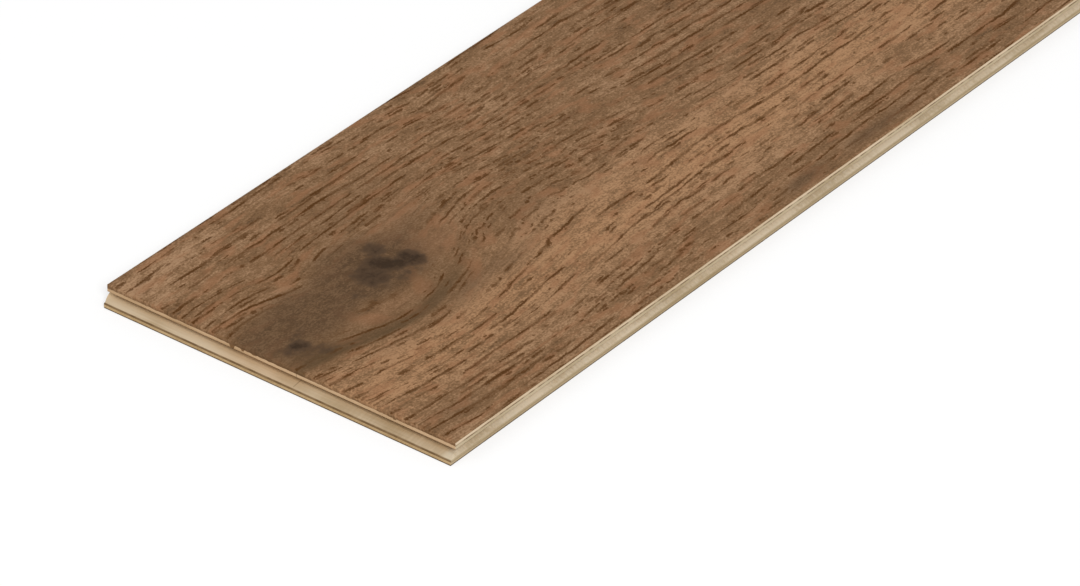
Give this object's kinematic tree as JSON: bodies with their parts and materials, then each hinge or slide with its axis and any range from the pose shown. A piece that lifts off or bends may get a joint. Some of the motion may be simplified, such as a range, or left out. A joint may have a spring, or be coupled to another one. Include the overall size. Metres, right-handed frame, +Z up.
{
  "type": "wide plank floorboard",
  "caption": "Wide engineered floorboard: brown hardwood face on a pale milled core with a backing veneer, grooved on one end and one side and tongued on the opposite ones.",
  "frame": {"origin": "centre of the underside of the whole board, lips and tongues included", "axes": "+X along the board from the grooved end to the tongued end, +Y across it from the grooved side to the tongued side, +Z up out of the walking face"},
  "size_m": [2.2098, 0.2642, 0.014],
  "materials": {
    "wear_face": "satin, brown stained, open pores",
    "core_wood": "bare, milled",
    "backing_wood": "bare, sanded"
  },
  "bodies": {
    "root": {"wear_layer": "wear_face", "core": "core_wood", "backing_veneer": "backing_wood"}
  },
  "joints": []
}
